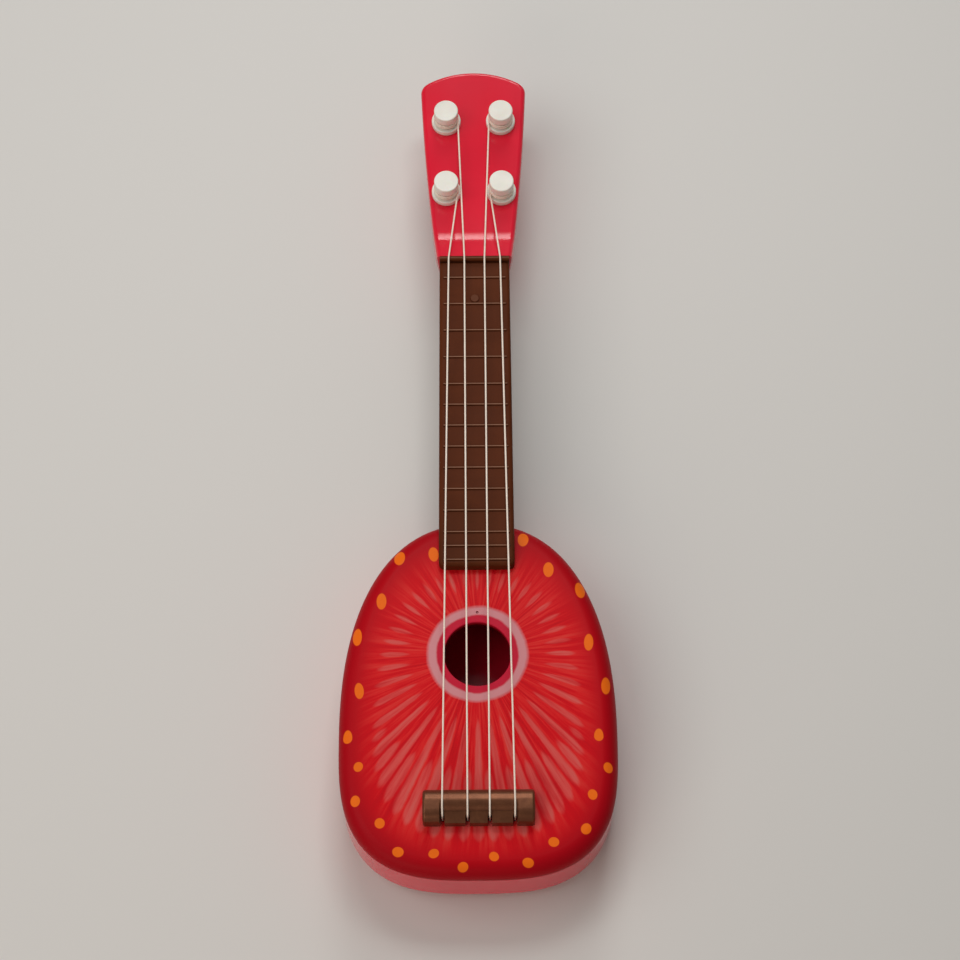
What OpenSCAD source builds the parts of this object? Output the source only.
// Toy guitar of the ukulele kind, lying on its back.
// A hollow pear-shaped body carries a bridge and a hollow neck with a fretted fingerboard.
// Four strings run from the bridge over the nut to four pegs that turn in the headstock.
// +X is to the right, +Y towards the headstock and +Z up out of the soundboard.
// The origin is under the middle of the whole length, on the plane that the back rests on.

/* [Body] */
// Greatest width of the body
body_w = 114; // [95:1:140]
// From the tail end to the widest place
body_tail_l = 57.5; // [48:0.5:70]
// From the widest place to the neck end of the body
body_neck_l = 96; // [80:0.5:116]
// From the resting face to the top of the soundboard
body_depth = 38; // [31:0.5:46]
// How square the tail half of the outline is
tail_power = 3; // [2.4:0.1:3.6]
// How square the neck half of the outline is
neck_power = 2.35; // [2:0.05:2.8]
// Wall of the back shell
back_wall = 2.4; // [1.8:0.1:3]
// Thickness of the soundboard
board_t = 2.4; // [1.8:0.1:3]
// Radius of the rounded back edge
back_round = 9; // [6:0.5:11]
// Radius of the rounded front edge, which is the height of the soundboard's rim
front_round = 7; // [5.5:0.5:8.5]
// Diameter of the sound hole
hole_d = 27.5; // [22:0.5:34]
// From the neck end of the body to the middle of the sound hole
hole_from_neck = 59.7; // [48:0.5:70]
// Distance of the body screws from the outline
body_screw_inset = 11; // [9:0.5:14]

/* [Neck and fingerboard] */
// From the neck end of the body to the headstock
neck_free_l = 121; // [100:1:146]
// Length of the fingerboard that lies on the soundboard
finger_over_l = 23.4; // [20:0.2:28]
// Width of the fingerboard at the nut
nut_w = 30.6; // [27:0.2:36]
// Width of the fingerboard at its body end
end_w = 31.7; // [28:0.1:38]
// Thickness of the fingerboard
finger_t = 5; // [4.2:0.1:6]
// Radius of the fingerboard's long edges
finger_round = 2; // [1.6:0.1:3.2]
// Depth of the half-round back of the neck at the nut
neck_depth_nut = 11; // [10:0.5:14]
// Depth of the half-round back of the neck at the body
neck_depth_body = 18; // [15:0.5:21]
// Wall of the neck's back
neck_wall = 1.6; // [1.2:0.1:2.2]
// Width of the tenon that the body holds
tenon_w = 18; // [14:0.5:20]
// Length of the tenon inside the body
tenon_l = 21; // [18:0.5:25]
// Height of the tenon
tenon_h = 10; // [8:0.5:11]
// Length of the tongue that the headstock holds
tongue_l = 22; // [20:0.5:25]
// Thickness of the tongue
tongue_t = 4; // [3:0.1:4.4]

/* [Frets and nut] */
// Length of the first step, next to the nut
first_step = 9.9; // [6:0.1:11]
// Number of wide steps, whose length fills what the others leave
wide_steps = 4; // [3:1:5]
// Number of middle steps
middle_steps = 7; // [5:1:8]
// Length of a middle step
middle_step = 9.75; // [7:0.05:11.5]
// Number of close steps at the body end
close_steps = 2; // [1:1:3]
// Length of a close step
close_step = 6.2; // [4:0.1:7.5]
// From the last fret to the end of the fingerboard
last_step = 2.7; // [2:0.1:5]
// Width of a fret
fret_w = 1.2; // [1:0.1:2]
// Height of a fret
fret_h = 0.55; // [0.4:0.05:0.9]
// Thickness of the nut
nut_t = 2.5; // [2:0.1:3.2]
// Height of the nut above the fingerboard
nut_h = 2.5; // [2:0.1:3]

/* [Headstock] */
// Length from the nut to the top
head_l = 97; // [92:0.5:118]
// Width next to the nut
head_base_w = 32.8; // [30:0.2:38]
// Width at the top corners
head_top_w = 47.8; // [44:0.2:56]
// How far the long edges bow out
head_bow = 0.9; // [0:0.1:2]
// Rise of the arched top above the corners
head_arch = 7.5; // [4:0.5:10]
// Length that the rounded top corners take
corner_l = 3.5; // [3:0.5:7]
// Thickness behind the flat of the face
head_t = 12; // [11.5:0.1:14]
// How far the face lies below the fingerboard's top
head_drop = 3; // [2.5:0.1:3.5]
// Length of the ramp that rises from the face to the nut
ramp_l = 15; // [13:0.5:16]
// Length of the ramp's hollow foot
ramp_foot_l = 6; // [4:0.5:8]
// Rise of the ramp for each millimetre of its straight part
ramp_slope = 0.38; // [0.3:0.01:0.4]
// Radius of the face's edge
head_round = 2; // [1.5:0.1:3]
// Wall of the front shell's sides
head_wall = 1.6; // [1.2:0.1:2]
// Thickness of the front shell's face
head_plate = 1.8; // [1.4:0.1:2.2]
// Thickness of the back cover
cover_t = 1.5; // [1.2:0.1:1.8]

/* [Pegs] */
// From the middle line to a peg
peg_x = 12.2; // [11:0.1:14]
// From the nut to the lower pair of pegs
peg_low = 34; // [31:0.5:42]
// From the lower pair to the upper pair
peg_pitch = 36; // [30:0.5:40]
// Height of a peg above the face
peg_h = 10.9; // [9.5:0.1:13]
// Diameter of the knob
knob_d = 10.7; // [9.5:0.1:11.5]
// Radius of the knob's top edge
knob_round = 0.5; // [0.4:0.1:1.5]
// Diameter of the flange
flange_d = 13; // [12:0.1:13.6]
// Thickness of the flange
flange_t = 2.5; // [1.8:0.1:3]
// Diameter of the winding groove
groove_d = 9; // [8:0.1:9.2]
// Diameter of the shaft
shaft_d = 6; // [5:0.1:6.6]
// Length of the bore that carries the shaft
bore_l = 7; // [6.5:0.1:7.2]
// Diameter of the washer
washer_d = 8.5; // [7.5:0.1:10]
// Thickness of the washer
washer_t = 0.8; // [0.5:0.1:1]

/* [Bridge] */
// Width of the bridge
bridge_w = 45; // [42:0.5:56]
// Length of the bridge along the strings
bridge_l = 14; // [13.2:0.1:16]
// Height of the bridge
bridge_h = 8.5; // [7.5:0.1:10]
// From the tail end of the body to the bridge
bridge_from_tail = 20.5; // [18:0.5:26]
// Radius of the rounded bar
bar_r = 5.2; // [4.8:0.1:6]
// Width of the bar, from the neck side to the tie face
bar_w = 9.3; // [8:0.1:9.6]
// Width of the tie block between the plain ends
tie_w = 31.6; // [31:0.1:36]
// How far the tie face lies below the bar where they meet
tie_step = 0.3; // [0.2:0.05:0.6]
// Height of the tie face at the tail edge
tie_low = 4.5; // [3.5:0.1:5.5]
// Width of a string notch
notch_w = 1.8; // [1.4:0.1:2.2]
// Length of a string notch
notch_l = 3.6; // [3:0.1:4.2]

/* [Strings] */
// Diameter of a string
string_d = 0.76; // [0.6:0.02:0.9]
// From the middle line to an inner string at the nut
nut_inner_x = 4.4; // [3.6:0.1:5.2]
// From the middle line to an outer string at the nut
nut_outer_x = 11.25; // [9.5:0.05:12]
// From the middle line to an inner string at the bridge
bridge_inner_x = 4.45; // [3.8:0.05:5.2]
// From the middle line to an outer string at the bridge
bridge_outer_x = 14.55; // [12.5:0.05:14.6]
// Turns of the winding on a peg
wind_turns = 2; // [1.5:0.25:2.25]
// Gap between two turns
wind_gap = 0.47; // [0.45:0.01:0.6]
// How deep a string lies in the nut
string_sink = 0.25; // [0.1:0.05:0.35]
// Radius of the knot under the soundboard
knot_r = 1.3; // [1:0.1:1.6]

/* [Screws and fits] */
// Shank diameter of the body screws
body_screw_d = 2.8; // [2.2:0.1:3]
// Shank length of the body screws
body_screw_l = 12; // [8:0.5:14]
// Shank diameter of all other screws
small_screw_d = 2.2; // [1.8:0.1:2.4]
// Head diameter of all other screws
small_head_d = 4.2; // [3.6:0.1:4.6]
// Head height of all other screws
small_head_h = 1.5; // [1.1:0.1:1.6]
// Clearance between pieces that are fitted together
fit = 0.15; // [0.1:0.05:0.25]
// Radial clearance between a peg's shaft and its bore
run_fit = 0.05; // [0.02:0.01:0.1]
// End play of a peg
peg_play = 0.15; // [0.1:0.05:0.3]
// Clearance around a string and its winding
string_fit = 0.3; // [0.2:0.05:0.35]
// Radial clearance of a screw in its pilot hole
pilot_fit = 0.05; // [0.03:0.01:0.1]
// Radial clearance of a screw in its through hole
through_fit = 0.25; // [0.15:0.05:0.4]

/* [Hidden] */

red = "#C8102A";
brown = "#5A2D1E";
bronze = "#6B4630";
white = "#E6E4DA";
nylon = "#DCC8B0";
steel = "#A9A9AC";

$fn = 48;
// Points around the body's outline
outline_n = 72;
// Steps in a quarter of a rounded edge
round_steps = 5;
// How far a cut runs past the face that it opens
over = 1;

// Places along the length
overall_l = body_tail_l + body_neck_l + neck_free_l + head_l;
y_tail = -overall_l / 2;
y_wide = y_tail + body_tail_l;
y_body_end = y_wide + body_neck_l;
y_nut = y_body_end + neck_free_l;
y_top = overall_l / 2;
y_hole = y_body_end - hole_from_neck;
y_bridge = y_tail + bridge_from_tail;
finger_l = neck_free_l + finger_over_l;
y_finger = y_nut - finger_l;

// Heights above the resting face
seam_z = body_depth - front_round;
board_z = body_depth;
ceiling_z = board_z - board_t;
finger_z = board_z + finger_t;
nut_z = finger_z + nut_h;
face_z = finger_z - head_drop;
head_back_z = face_z - head_t;
bore_low_z = face_z - bore_l;

// Radii of screws and of the holes that take them
small_r = small_screw_d / 2;
small_head_r = small_head_d / 2;
small_pilot_r = small_r + pilot_fit;
small_through_r = small_r + through_fit;
small_recess_r = small_head_r + through_fit;
body_screw_r = body_screw_d / 2;
body_head_r = body_screw_d;
body_head_h = 1.8;
thin_wall = 1.2;
boss_wall = 2;
body_recess_r = body_head_r + through_fit;

// Body screws: a post from the back meets a boss from the soundboard
body_screw_angles = [-42, 14, 60];
body_seat_z = 10;
body_meet_z = 15;
// Lip of the soundboard inside the back shell
lip_h = 3;
lip_t = 1.6;

// Tenon and its screws
tenon_top_z = ceiling_z - 2 * fit;
tenon_low_z = tenon_top_z - tenon_h;
tenon_wall = 2;
tenon_plate = 2.2;
heel_seat_z = tenon_top_z - tenon_plate;
heel_screw_l = 8.2;
heel_screw_from_end = [7.5, 15.5];
heel_screws_y = [for (d = heel_screw_from_end) y_body_end - d];

// Neck: straight sides above a half ellipse, and posts for its screws
neck_side_h = 2.5;
neck_end_wall = 4;
neck_seat_drop = 8.5;
neck_meet_drop = 5;
neck_seat_z = board_z - neck_seat_drop;
neck_meet_z = board_z - neck_meet_drop;
neck_screw_l = 9.5;
neck_screw_margin = 20;
neck_screw_count = 3;
neck_screw_step = (neck_free_l - 2 * neck_screw_margin) / (neck_screw_count - 1);
neck_screws_y = [for (i = [0:neck_screw_count - 1]) y_body_end + neck_screw_margin + i * neck_screw_step];
neck_boss_r = small_r + boss_wall;
// Shell of the fingerboard above its hollow
finger_plate = 1.8;
finger_wall = 2.2;

// Tongue in the headstock, and the screws that clamp it
tongue_room = 2.5;
tongue_top_z = face_z - head_plate - tongue_room;
tongue_low_z = tongue_top_z - tongue_t;
cover_boss_z = tongue_low_z - fit;
cover_recess = 2;
head_seat_z = head_back_z + cover_recess;
head_screw_l = head_t - head_plate - cover_recess;
tongue_screw_x = 6;
tongue_screw_from_nut = 12.5;
top_screw_x = 15;
top_screw_from_corner = 5;
head_side_l = head_l - head_arch;
head_screw_points = [
    [tongue_screw_x, y_nut + tongue_screw_from_nut],
    [-tongue_screw_x, y_nut + tongue_screw_from_nut],
    [top_screw_x, y_nut + head_side_l - top_screw_from_corner],
    [-top_screw_x, y_nut + head_side_l - top_screw_from_corner]
];

// Pegs, counted with their strings from the left
y_peg_low = y_nut + peg_low;
y_peg_high = y_peg_low + peg_pitch;
peg_points = [
    [-peg_x, y_peg_low],
    [-peg_x, y_peg_high],
    [peg_x, y_peg_high],
    [peg_x, y_peg_low]
];
flange_r = flange_d / 2;
flange_edge = 0.6;
groove_r = groove_d / 2;
knob_r = knob_d / 2;
shaft_r = shaft_d / 2;
shaft_low_z = bore_low_z - peg_play;
peg_boss_r = shaft_r + boss_wall;
peg_screw_l = 9;

// Strings
string_r = string_d / 2;
wind_pitch = string_d + wind_gap;
wind_r = groove_r + string_fit + string_r;
wind_z = face_z + flange_t + string_fit + string_r;
groove_h = wind_turns * wind_pitch + string_d + 2 * string_fit;
nut_string_z = nut_z + string_r - string_sink;
y_nut_crest = y_nut - nut_t / 2;
nut_x = [-nut_outer_x, -nut_inner_x, nut_inner_x, nut_outer_x];
bridge_x = [-bridge_outer_x, -bridge_inner_x, bridge_inner_x, bridge_outer_x];
string_sides = 6;
rings_per_turn = 24;
y_tie_hole = y_bridge + notch_l - notch_w / 2;
tie_hole_r = string_r + string_fit;
y_bar = y_bridge + bridge_l - bar_r;
bar_z = board_z + bridge_h - bar_r;
bar_back = acos((bar_r - bar_w) / bar_r);
tie_l = bridge_l - bar_w;
tie_high = bridge_h - bar_r + bar_r * sin(bar_back) - tie_step;
bridge_screw_inset = 4;
bridge_screw_x = bridge_w / 2 - bridge_screw_inset;
y_bridge_screw = y_bridge + bridge_l / 2;
bridge_screw_l = 7;

// Small vector helpers
function unit(v) = v / norm(v);
function turned(v, angle) = [v[0] * cos(angle) - v[1] * sin(angle), v[0] * sin(angle) + v[1] * cos(angle)];
function raised(points, z) = [for (p = points) [p[0], p[1], z]];

// Closed skin over a stack of convex rings that all have the same number of points.
// Each end is filled by strips between its two flanks, so a ring may rise along its length.
module skin(rings) {
    n = len(rings[0]);
    last = (len(rings) - 1) * n;
    points = [for (ring = rings) each ring];
    sides = [
        for (j = [0:len(rings) - 2])
            for (i = [0:n - 1])
                let (a = j * n + i, b = j * n + (i + 1) % n)
                    each [[a, a + n, b + n], [a, b + n, b]]
    ];
    strips = [
        for (i = [0:floor((n - 1) / 2) - 1])
            each i + 1 == n - 2 - i
                ? [[i, i + 1, n - 1 - i]]
                : [[i, i + 1, n - 2 - i], [i, n - 2 - i, n - 1 - i]]
    ];
    low_end = strips;
    high_end = [for (f = strips) [last + f[2], last + f[1], last + f[0]]];
    polyhedron(points, concat(sides, low_end, high_end));
}

// Screw that points up: its head hangs below the seat at z = 0
module screw(head_r, head_h, shank_r, shank_l) {
    slot_w = head_r / 3;
    slot_l = 1.3 * head_r;
    crown_r = 0.7 * head_r;
    tip_r = shank_r / 3;
    profile = [
        [0, -head_h], [crown_r, -head_h], [head_r, -head_h / 2], [head_r, 0],
        [shank_r, 0], [shank_r, shank_l - shank_r], [tip_r, shank_l], [0, shank_l]
    ];
    difference() {
        rotate_extrude() polygon(profile);
        for (turn = [0, 90])
            translate([0, 0, -head_h])
                rotate([0, 0, turn])
                    cube([slot_l, slot_w, head_h], center = true);
    }
}

module small_screw(shank_l) {
    screw(small_head_r, small_head_h, small_r, shank_l);
}

module hole(r, low_z, high_z) {
    translate([0, 0, low_z]) cylinder(r = r, h = high_z - low_z);
}

// Body outline: a squarish superellipse at the tail and a longer, rounder one at the neck
function outline_point(angle, inset) =
    let (
        reach = sin(angle) < 0 ? body_tail_l : body_neck_l,
        power = sin(angle) < 0 ? tail_power : neck_power,
        across = pow(abs(cos(angle)) / (body_w / 2 - inset), power),
        along = pow(abs(sin(angle)) / (reach - inset), power),
        r = pow(across + along, -1 / power)
    )
    [r * cos(angle), y_wide + r * sin(angle)];

function outline(inset) = [for (i = [0:outline_n - 1]) outline_point(360 * i / outline_n, inset)];
function body_ring(inset, z) = raised(outline(inset), z);
function quarter(from, to) = [for (i = [0:round_steps]) from + (to - from) * i / round_steps];

body_screw_points = [
    for (angle = body_screw_angles)
        each [outline_point(angle, body_screw_inset), outline_point(180 - angle, body_screw_inset)]
];

// Opening in the neck end of the body that the tenon fills
module tenon_window() {
    translate([-tenon_w / 2 - fit, y_body_end - tenon_l / 2, tenon_low_z - fit])
        cube([tenon_w + 2 * fit, tenon_l, tenon_h + 2 * fit]);
}

module body_back() {
    inner_round = back_round - back_wall;
    rings = concat(
        [for (a = quarter(0, 90)) body_ring(back_round * (1 - sin(a)), back_round * (1 - cos(a)))],
        [body_ring(0, seam_z), body_ring(back_wall, seam_z)],
        [
            for (a = quarter(90, 0))
                body_ring(back_round - inner_round * sin(a), back_round - inner_round * cos(a))
        ]
    );
    color(red)
        difference() {
            union() {
                skin(rings);
                for (p = body_screw_points)
                    translate(p) hole(body_recess_r + thin_wall, back_wall / 2, body_meet_z);
            }
            for (p = body_screw_points)
                translate(p) {
                    hole(body_recess_r, -over, body_seat_z);
                    hole(body_screw_r + through_fit, body_seat_z - over, body_meet_z + over);
                }
            tenon_window();
        }
}

module soundboard() {
    inner_round = front_round - board_t;
    lip_out = back_wall + fit;
    lip_in = lip_out + lip_t;
    lip_angle = acos((front_round - lip_in) / inner_round);
    rings = concat(
        [
            for (a = quarter(90, lip_angle))
                body_ring(front_round - inner_round * cos(a), seam_z + inner_round * sin(a))
        ],
        [body_ring(lip_in, seam_z - lip_h), body_ring(lip_out, seam_z - lip_h), body_ring(lip_out, seam_z)],
        [for (a = quarter(0, 90)) body_ring(front_round * (1 - cos(a)), seam_z + front_round * sin(a))]
    );
    color(red)
        difference() {
            union() {
                skin(rings);
                for (p = body_screw_points)
                    translate(p) hole(body_screw_r + boss_wall, body_meet_z, ceiling_z + board_t / 2);
            }
            for (p = body_screw_points)
                translate(p)
                    hole(body_screw_r + pilot_fit, body_meet_z - over, body_seat_z + body_screw_l + over);
            translate([0, y_hole]) hole(hole_d / 2, ceiling_z - over, board_z + over);
            for (x = bridge_x)
                translate([x, y_tie_hole]) hole(tie_hole_r, ceiling_z - over, board_z + over);
            for (side = [-1, 1])
                translate([side * bridge_screw_x, y_bridge_screw])
                    hole(small_through_r, ceiling_z - over, board_z + over);
            for (y = heel_screws_y)
                translate([0, y]) hole(small_through_r, seam_z - lip_h, board_z + over);
            tenon_window();
        }
}

module body_screws() {
    color(steel)
        for (p = body_screw_points)
            translate([p[0], p[1], body_seat_z])
                screw(body_head_r, body_head_h, body_screw_r, body_screw_l);
}

// Bridge: a rounded bar whose tail side is cut to a sloping tie face between plain ends
module across_bridge(width) {
    translate([0, y_bridge, board_z])
        rotate([90, 0, 90])
            linear_extrude(width, center = true) children();
}

module bridge() {
    foot_z = bridge_h - bar_r;
    pillow = concat(
        [[0, 0], [bridge_l, 0]],
        [for (a = [0:15:90]) [bridge_l - bar_r + bar_r * cos(a), foot_z + bar_r * sin(a)]],
        [for (a = [90:15:180]) [bar_r + bar_r * cos(a), foot_z + bar_r * sin(a)]]
    );
    drop = (tie_high - tie_low) / tie_l;
    above_tie = concat(
        [[-over, tie_low - drop * over], [tie_l, tie_high]],
        [for (a = quarter(bar_back, 90)) [bridge_l - bar_r + bar_r * cos(a), foot_z + bar_r * sin(a)]],
        [[bridge_l - bar_r, bridge_h + over], [-over, bridge_h + over]]
    );
    color(bronze)
        difference() {
            across_bridge(bridge_w) polygon(pillow);
            across_bridge(tie_w) polygon(above_tie);
            for (x = bridge_x) {
                translate([x, y_tie_hole]) hole(notch_w / 2, board_z - over, board_z + bridge_h);
                translate([x - notch_w / 2, y_bridge - over, board_z - over])
                    cube([notch_w, y_tie_hole - y_bridge + over, bridge_h + over]);
            }
            for (side = [-1, 1])
                translate([side * bridge_screw_x, y_bridge_screw])
                    hole(small_pilot_r, board_z - over, ceiling_z + bridge_screw_l + pilot_fit);
        }
}

module bridge_screws() {
    color(steel)
        for (side = [-1, 1])
            translate([side * bridge_screw_x, y_bridge_screw, ceiling_z]) small_screw(bridge_screw_l);
}

// Fingerboard and neck share one taper
function neck_half(y) = (nut_w + (end_w - nut_w) * (y_nut - y) / finger_l) / 2;

function finger_ring(y) =
    let (flat = neck_half(y) - finger_round, low = finger_z - finger_round)
    concat(
        [[flat + finger_round, y, board_z], [-flat - finger_round, y, board_z]],
        [for (a = [0:22.5:90]) [-flat - finger_round * cos(a), y, low + finger_round * sin(a)]],
        [for (a = [90:-22.5:0]) [flat + finger_round * cos(a), y, low + finger_round * sin(a)]]
    );

wide_step = (finger_l - first_step - middle_steps * middle_step - close_steps * close_step - last_step)
    / wide_steps;
fret_steps = [
    first_step,
    for (i = [1:wide_steps]) wide_step,
    for (i = [1:middle_steps]) middle_step,
    for (i = [1:close_steps]) close_step
];
function total(steps, count) = count == 0 ? 0 : steps[count - 1] + total(steps, count - 1);
frets_y = [for (i = [1:len(fret_steps)]) y_nut - total(fret_steps, i)];

module fret(y) {
    translate([0, y, finger_z + fret_h - fret_w / 2])
        rotate([0, 90, 0])
            cylinder(d = fret_w, h = 2 * (neck_half(y) - finger_round), center = true);
}

module nut_ridge() {
    half = neck_half(y_nut) - fit;
    translate([-half, y_nut - nut_t, finger_z - finger_round])
        cube([2 * half, nut_t, nut_h + finger_round - nut_t / 2]);
    translate([0, y_nut_crest, nut_z - nut_t / 2])
        rotate([0, 90, 0]) cylinder(d = nut_t, h = 2 * half, center = true);
}

module fingerboard() {
    hollow_l = neck_free_l - 2 * neck_end_wall;
    hollow_half = nut_w / 2 - finger_wall;
    hollow_z = finger_z - finger_plate;
    color(brown)
        difference() {
            union() {
                difference() {
                    skin([finger_ring(y_finger), finger_ring(y_nut)]);
                    translate([-hollow_half, y_body_end + neck_end_wall, board_z - over])
                        cube([2 * hollow_half, hollow_l, hollow_z - board_z + over]);
                }
                for (y = neck_screws_y)
                    translate([0, y]) hole(neck_boss_r, neck_meet_z, hollow_z + finger_plate / 2);
                for (y = frets_y)
                    fret(y);
                nut_ridge();
            }
            for (x = nut_x)
                translate([x, y_nut_crest, nut_string_z])
                    rotate([90, 0, 0])
                        cylinder(r = string_r + string_fit, h = nut_t + 2 * over, center = true);
            for (y = neck_screws_y)
                translate([0, y])
                    hole(small_pilot_r, neck_meet_z - over, neck_seat_z + neck_screw_l + pilot_fit);
            for (y = heel_screws_y)
                translate([0, y]) hole(small_pilot_r, board_z - over, heel_seat_z + heel_screw_l + pilot_fit);
        }
}

function neck_depth(y) = neck_depth_nut + (neck_depth_body - neck_depth_nut) * (y_nut - y) / neck_free_l;

function neck_ring(y, wall, top_z) =
    let (half = neck_half(y) - wall, drop = neck_depth(y) - neck_side_h - wall, mid_z = board_z - neck_side_h)
    concat(
        [[half, y, top_z]],
        [for (a = [0:15:180]) [half * cos(a), y, mid_z - drop * sin(a)]],
        [[-half, y, top_z]]
    );

// The filled neck half of the body, grown by the fit, which the heel is cut to
module body_end_form() {
    grown = front_round + fit;
    rings = concat(
        [body_ring(-fit, -over)],
        [for (a = quarter(0, 90)) body_ring(front_round - grown * cos(a), seam_z + grown * sin(a))]
    );
    skin(rings);
}

module neck_hollow() {
    skin([
        neck_ring(y_body_end + neck_end_wall, neck_wall, board_z + over),
        neck_ring(y_nut - neck_end_wall, neck_wall, board_z + over)
    ]);
}

module tenon() {
    pocket_w = tenon_w - 2 * tenon_wall;
    difference() {
        translate([-tenon_w / 2, y_body_end - tenon_l, tenon_low_z])
            cube([tenon_w, tenon_l + neck_end_wall, tenon_h]);
        translate([-pocket_w / 2, y_body_end - tenon_l + tenon_wall, tenon_low_z - over])
            cube([pocket_w, tenon_l - 2 * tenon_wall, tenon_h - tenon_plate + over]);
        for (y = heel_screws_y)
            translate([0, y]) hole(small_through_r, heel_seat_z - over, tenon_top_z + over);
    }
}

module tongue() {
    difference() {
        translate([-tenon_w / 2, y_nut - neck_end_wall, tongue_low_z])
            cube([tenon_w, neck_end_wall + tongue_l, tongue_t]);
        for (i = [0, 1])
            translate(head_screw_points[i]) hole(small_through_r, tongue_low_z - over, tongue_top_z + over);
    }
}

module neck_back() {
    color(brown)
        difference() {
            union() {
                difference() {
                    skin([neck_ring(y_body_end - front_round, 0, board_z), neck_ring(y_nut, 0, board_z)]);
                    neck_hollow();
                    body_end_form();
                }
                intersection() {
                    neck_hollow();
                    for (y = neck_screws_y)
                        translate([0, y]) hole(small_recess_r + thin_wall, 0, neck_meet_z);
                }
                tenon();
                tongue();
            }
            for (y = neck_screws_y)
                translate([0, y]) {
                    hole(small_recess_r, 0, neck_seat_z);
                    hole(small_through_r, neck_seat_z - over, neck_meet_z + over);
                }
        }
}

module neck_screws() {
    color(steel)
        for (y = neck_screws_y)
            translate([0, y, neck_seat_z]) small_screw(neck_screw_l);
}

module heel_screws() {
    color(steel)
        for (y = heel_screws_y)
            translate([0, y, heel_seat_z]) small_screw(heel_screw_l);
}

// Headstock outline: bowed sides, rounded corners and an arched top
head_base = head_base_w / 2;
head_corner = head_top_w / 2;
arch_r = (head_corner * head_corner + head_arch * head_arch) / (2 * head_arch);
function side_point(s) =
    let (u = s / head_side_l)
    [head_base + (head_corner - head_base) * u + 4 * head_bow * u * (1 - u), y_nut + s];
function arch_point(x) = [x, y_top - arch_r + sqrt(arch_r * arch_r - x * x)];
function bend(a, b, c, t) = (1 - t) * (1 - t) * a + 2 * t * (1 - t) * b + t * t * c;

ramp_steps = 8;
side_steps = 6;
corner_steps = 4;
arch_steps = 5;
side_end = head_side_l - corner_l;
arch_start = head_corner - corner_l;
head_flank = concat(
    [for (i = [0:ramp_steps]) side_point(ramp_l * i / ramp_steps)],
    [for (i = [1:side_steps]) side_point(ramp_l + (side_end - ramp_l) * i / side_steps)],
    [
        for (i = [1:corner_steps])
            bend(side_point(side_end), side_point(head_side_l), arch_point(arch_start), i / corner_steps)
    ],
    [for (i = [1:arch_steps - 1]) arch_point(arch_start * (1 - i / arch_steps))]
);
head_points = concat(
    head_flank,
    [[0, y_top]],
    [for (i = [len(head_flank) - 1:-1:0]) [-head_flank[i][0], head_flank[i][1]]]
);

// The outline drawn in by an inset, with its nut end drawn in by base
function head_outline(inset, base) = [
    for (i = [0:len(head_points) - 1])
        let (p = head_points[i], end = len(head_points) - 1)
            i == 0 ? p + [-inset, base]
            : i == end ? p + [inset, base]
            : let (along = unit(head_points[i + 1] - head_points[i - 1])) p + inset * [-along[1], along[0]]
];

// Height of the face along the headstock: flat, then a hollow foot, then a straight ramp to the nut
function ramp_z(s) =
    s >= ramp_l ? 0
    : s > ramp_l - ramp_foot_l ? ramp_slope * (ramp_l - s) * (ramp_l - s) / (2 * ramp_foot_l)
    : ramp_slope * (ramp_l - ramp_foot_l / 2 - s);
function face_ring(inset, base, drop) = [
    for (p = head_outline(inset, base)) [p[0], p[1], face_z + ramp_z(p[1] - y_nut) - drop]
];

module headstock() {
    rings = concat(
        [
            face_ring(head_wall, head_wall, head_plate),
            raised(head_outline(head_wall, head_wall), head_back_z),
            raised(head_outline(0, 0), head_back_z)
        ],
        [for (a = quarter(0, 90)) face_ring(head_round * (1 - cos(a)), 0, head_round * (1 - sin(a)))]
    );
    inside_z = face_z - head_plate / 2;
    color(red)
        difference() {
            union() {
                skin(rings);
                for (p = peg_points)
                    translate(p) hole(peg_boss_r, bore_low_z, inside_z);
                for (i = [0:3])
                    translate(head_screw_points[i])
                        hole(small_r + boss_wall, i < 2 ? tongue_top_z + fit : cover_boss_z, inside_z);
            }
            for (p = peg_points)
                translate(p) hole(shaft_r + run_fit, bore_low_z - over, face_z + over);
            for (p = head_screw_points)
                translate(p) hole(small_pilot_r, cover_boss_z - over, head_seat_z + head_screw_l + pilot_fit);
            translate([-tenon_w / 2 - fit, y_nut - over, tongue_low_z - fit])
                cube([tenon_w + 2 * fit, head_wall + 2 * over, tongue_t + 2 * fit]);
        }
}

module headstock_back() {
    draw_in = head_wall + fit;
    color(red)
        difference() {
            union() {
                translate([0, 0, head_back_z])
                    linear_extrude(cover_t) polygon(head_outline(draw_in, draw_in));
                for (p = head_screw_points)
                    translate(p) hole(small_recess_r + thin_wall, head_back_z, cover_boss_z);
            }
            for (p = head_screw_points)
                translate(p) {
                    hole(small_recess_r, head_back_z - over, head_seat_z);
                    hole(small_through_r, head_seat_z - over, cover_boss_z + over);
                }
        }
}

module headstock_screws() {
    color(steel)
        for (p = head_screw_points)
            translate([p[0], p[1], head_seat_z]) small_screw(head_screw_l);
}

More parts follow.
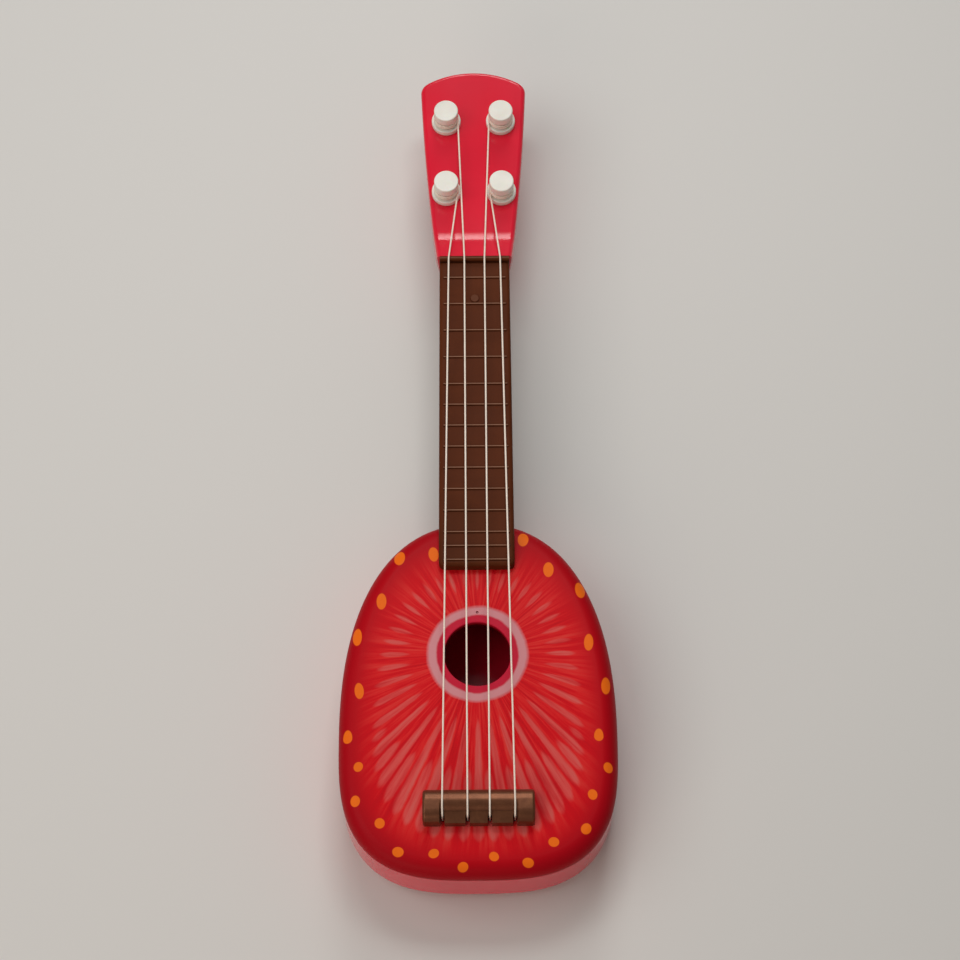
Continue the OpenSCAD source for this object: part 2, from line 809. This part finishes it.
// Peg: shaft, flange, winding groove and knob in one turned profile
module peg(i) {
    groove_z = face_z + flange_t;
    knob_z = groove_z + groove_h;
    top_z = face_z + peg_h;
    profile = concat(
        [
            [0, shaft_low_z], [shaft_r, shaft_low_z], [shaft_r, face_z + peg_play],
            [flange_r, face_z + peg_play], [flange_r, groove_z - flange_edge],
            [flange_r - flange_edge, groove_z], [groove_r, groove_z], [groove_r, knob_z], [knob_r, knob_z]
        ],
        [for (a = quarter(0, 90)) [knob_r - knob_round * (1 - cos(a)), top_z - knob_round * (1 - sin(a))]],
        [[0, top_z]]
    );
    color(white)
        translate(peg_points[i - 1])
            difference() {
                rotate_extrude() polygon(profile);
                hole(small_pilot_r, shaft_low_z - over, shaft_low_z - washer_t + peg_screw_l + pilot_fit);
                translate([0, 0, knob_z - string_fit - string_r])
                    rotate([90, 0, 0])
                        cylinder(r = string_r + string_fit, h = knob_d, center = true);
            }
}

module peg_washer(i) {
    color(steel)
        translate(peg_points[i - 1])
            difference() {
                hole(washer_d / 2, shaft_low_z - washer_t, shaft_low_z);
                hole(small_through_r, shaft_low_z - washer_t - over, shaft_low_z + over);
            }
}

module peg_screw(i) {
    color(steel)
        translate([peg_points[i - 1][0], peg_points[i - 1][1], shaft_low_z - washer_t])
            small_screw(peg_screw_l);
}

// Route of a string, from its knot under the soundboard to the end of its winding.
// Each step is a point and the radius of the tube there.
knot_steps = [-60, -20, 20, 60];
knot_gap = 0.15;
knot_z = ceiling_z - knot_gap - knot_r;
tie_top_z = board_z + tie_low + (tie_high - tie_low) * notch_l / tie_l + string_d;
seat_r = bar_r + string_r + pilot_fit;

function knot_route(x) = concat(
    [[[x, y_tie_hole, knot_z - 2 * knot_r], string_r]],
    [for (a = knot_steps) [[x, y_tie_hole, knot_z + knot_r * sin(a)], knot_r * cos(a)]],
    [[[x, y_tie_hole, ceiling_z], string_r]]
);

// Out of the notch, over the rounded bar and away to the nut
function bridge_route(x, x_nut) =
    let (
        corner = [y_tie_hole, tie_top_z],
        to_bar = [y_bar, bar_z] - corner,
        reach = sqrt(to_bar * to_bar - seat_r * seat_r),
        lean = asin(seat_r / norm(to_bar)),
        touch = corner + reach * turned(unit(to_bar), lean),
        climb = unit(touch - corner),
        before = corner - [0, string_d],
        after = corner + string_d * climb,
        from = atan2(touch[1] - bar_z, touch[0] - y_bar),
        slope = atan2(nut_string_z - bar_z - seat_r, y_nut_crest - y_bar),
        sideways = (x_nut - x) / (y_nut_crest - y_bar)
    )
    [
        for (t = [0:0.5:1])
            let (p = bend(before, corner, after, t)) [[x, p[0], p[1]], string_r],
        for (t = [0:1 / 3:1])
            let (
                a = from + (90 + slope - from) * t,
                p = [y_bar + seat_r * cos(a), bar_z + seat_r * sin(a)]
            )
            [[x + sideways * (p[0] - y_bar), p[0], p[1]], string_r]
    ];

// From the nut to the inner side of the peg, then up round its groove
function peg_route(i, stations) =
    let (
        side = sign(nut_x[i - 1]),
        nut = [nut_x[i - 1], y_nut_crest],
        centre = peg_points[i - 1],
        to_peg = centre - nut,
        reach = sqrt(to_peg * to_peg - wind_r * wind_r),
        lean = side * asin(wind_r / norm(to_peg)),
        touch = nut + reach * turned(unit(to_peg), lean),
        start = atan2(touch[1] - centre[1], touch[0] - centre[0]),
        steps = round(wind_turns * rings_per_turn),
        turn = [
            for (k = [0:steps])
                let (a = start - side * 360 * k / rings_per_turn)
                    [
                        centre[0] + wind_r * cos(a), centre[1] + wind_r * sin(a),
                        wind_z + wind_pitch * k / rings_per_turn
                    ]
        ],
        tail = turn[steps] + string_d * unit(turn[steps] - turn[steps - 1])
    )
    [
        [[nut[0], nut[1], nut_string_z], string_r],
        for (d = stations)
            let (p = touch + d * unit(nut - touch))
                [[p[0], p[1], wind_z + (nut_string_z - wind_z) * d / reach], string_r],
        for (p = turn) [p, string_r],
        [tail, string_r]
    ];

run_stations = [12, 8, 4, 2];
function string_route(i) = concat(
    knot_route(bridge_x[i - 1]),
    bridge_route(bridge_x[i - 1], nut_x[i - 1]),
    peg_route(i, run_stations)
);

// Directions across the tube, carried from ring to ring without twist
function along_at(points, k) = unit(points[min(k + 1, len(points) - 1)] - points[max(k - 1, 0)]);
function carried(across, along) = unit(across - (across * along) * along);
function across_list(points, k, across) =
    k == len(points) ? []
    : let (now = carried(across, along_at(points, k))) concat([now], across_list(points, k + 1, now));

// Least gap between parts of the winding that are at least a third of a turn apart
function least_gap(points) =
    let (apart = rings_per_turn / 3, n = len(points))
    min([for (a = [0:n - 1 - apart]) for (b = [a + apart:n - 1]) norm(points[a] - points[b])]) - string_d;

module string(i) {
    route = string_route(i);
    points = [for (step = route) step[0]];
    across = across_list(points, 0, [1, 0, 0]);
    rings = [
        for (k = [0:len(route) - 1])
            let (u = across[k], v = cross(along_at(points, k), u))
                [
                    for (s = [0:string_sides - 1])
                        let (a = 360 * s / string_sides) points[k] + route[k][1] * (cos(a) * u + sin(a) * v)
                ]
    ];
    winding = [for (step = peg_route(i, run_stations)) step[0]];
    echo(str("string_", i, " least gap to itself, mm: "), least_gap(winding));
    color(nylon) skin(rings);
}

body_back();
soundboard();
body_screws();
bridge();
bridge_screws();
fingerboard();
neck_back();
neck_screws();
heel_screws();
headstock();
headstock_back();
headstock_screws();
for (i = [1:4]) {
    peg(i);
    peg_washer(i);
    peg_screw(i);
    string(i);
}
